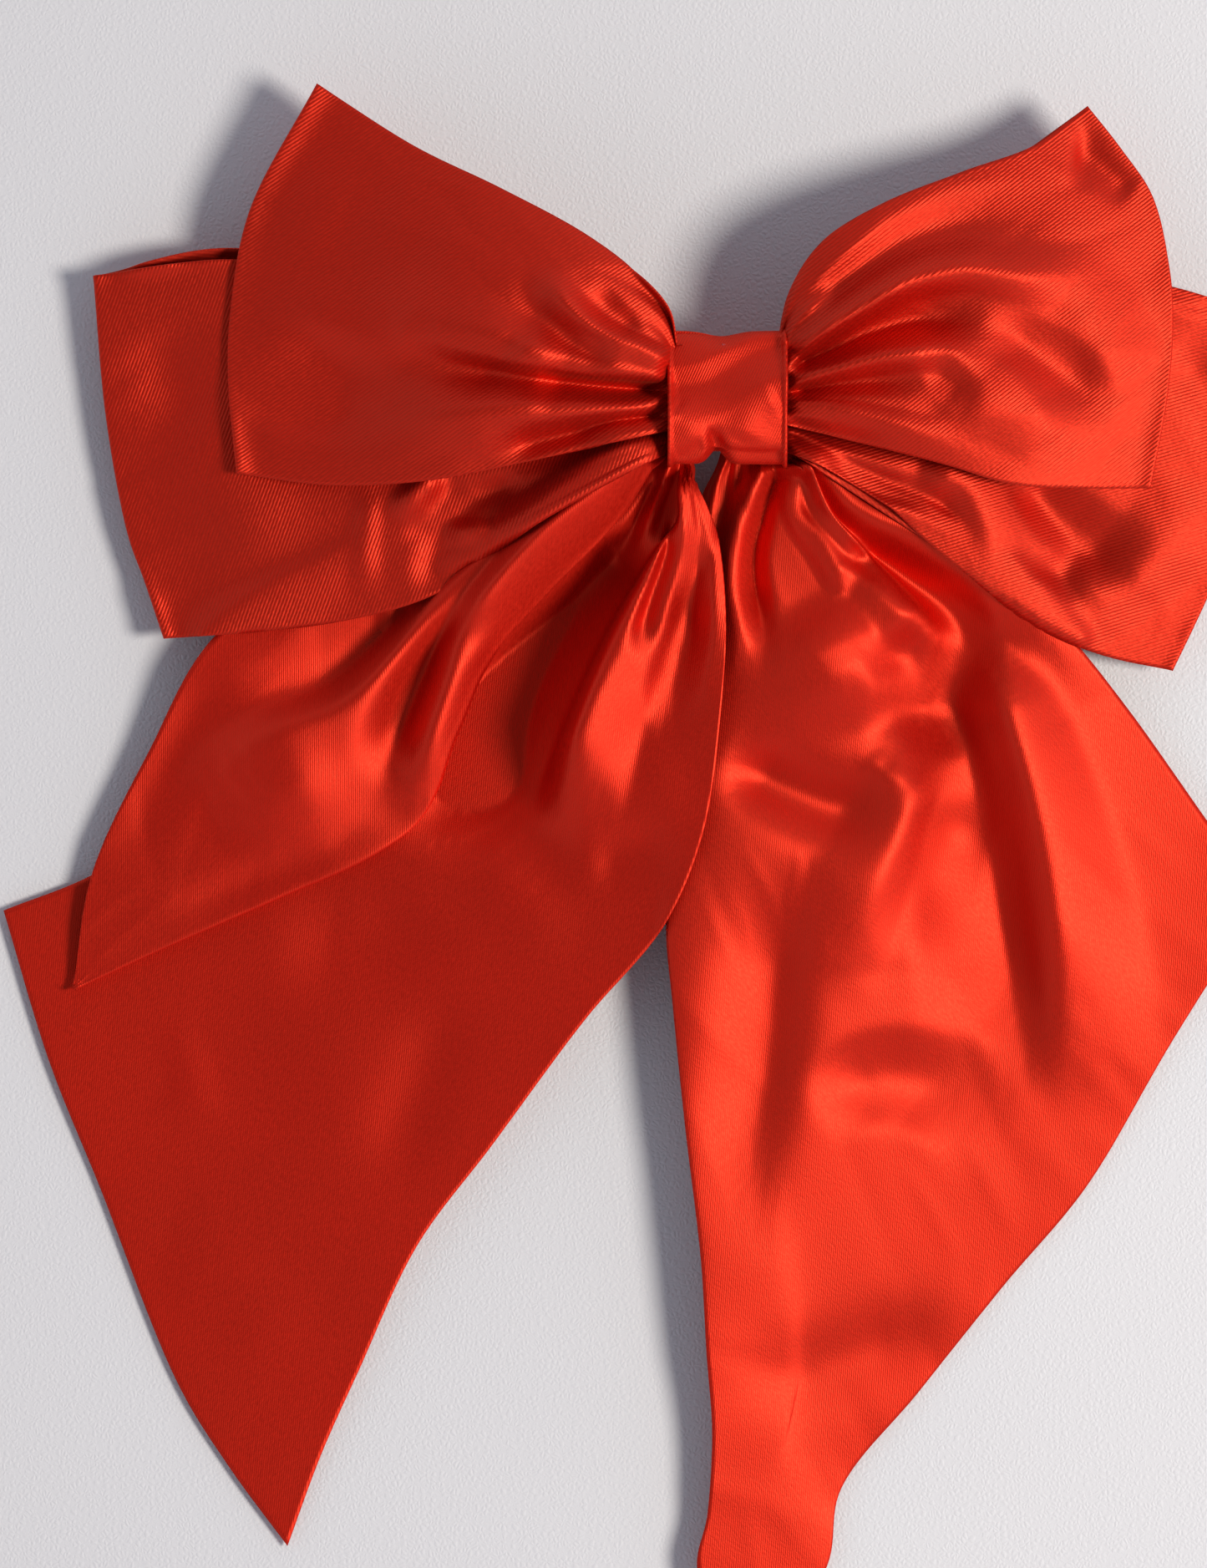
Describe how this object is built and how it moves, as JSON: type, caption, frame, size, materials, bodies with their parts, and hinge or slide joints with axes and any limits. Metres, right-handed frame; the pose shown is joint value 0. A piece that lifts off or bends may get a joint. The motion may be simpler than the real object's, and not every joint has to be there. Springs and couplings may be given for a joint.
{
  "type": "hair bow",
  "caption": "Large satin hair bow with stacked loops, a folded knot band and long trailing tails, sewn onto a sprung metal barrette.",
  "frame": {"origin": "middle of the clasp arm's underside, which lies on the table", "axes": "+X along the barrette to the catch, +Y to the top of the bow, +Z out of the bow's face"},
  "size_m": [0.2229, 0.2627, 0.0275],
  "materials": {
    "satin": "satin twill",
    "thread": "twisted thread",
    "glue": "set hot glue",
    "plated_steel": "bright nickel plate",
    "steel": "brushed"
  },
  "bodies": {
    "bow": {"upper_loop_strip": "satin", "lower_loop_strip": "satin", "tail_strip": "satin", "knot_band": "satin", "upper_gathering_thread": "thread", "lower_gathering_thread": "thread", "tail_gathering_thread": "thread", "knot_band_stitches": "thread", "glue_pad": "glue", "barrette_plate": "plated_steel", "hinge_bracket": "plated_steel", "hinge_pin": "steel", "tension_spring": "steel", "catch_bracket": "plated_steel", "plate_rivets": "steel"},
    "arm": {"clasp_arm": "plated_steel"},
    "tab_front": {"release_tab_front": "plated_steel"},
    "tab_back": {"release_tab_back": "plated_steel"}
  },
  "joints": [
    {"name": "arm_hinge", "type": "hinge", "parent": "bow", "child": "arm", "pos_m": [-0.0375, 0, 0.0059], "axis": [0, 1, 0], "range_deg": [0, 75]},
    {"name": "front_tab_pinch", "type": "hinge", "parent": "bow", "child": "tab_front", "pos_m": [0.0355, -0.002, 0.0079], "axis": [1, 0, 0], "range_deg": [0, 7], "stiffness_Nm_per_rad": 0.1},
    {"name": "back_tab_pinch", "type": "hinge", "parent": "bow", "child": "tab_back", "pos_m": [0.0355, 0.002, 0.0079], "axis": [-1, 0, 0], "range_deg": [0, 7], "stiffness_Nm_per_rad": 0.1}
  ]
}
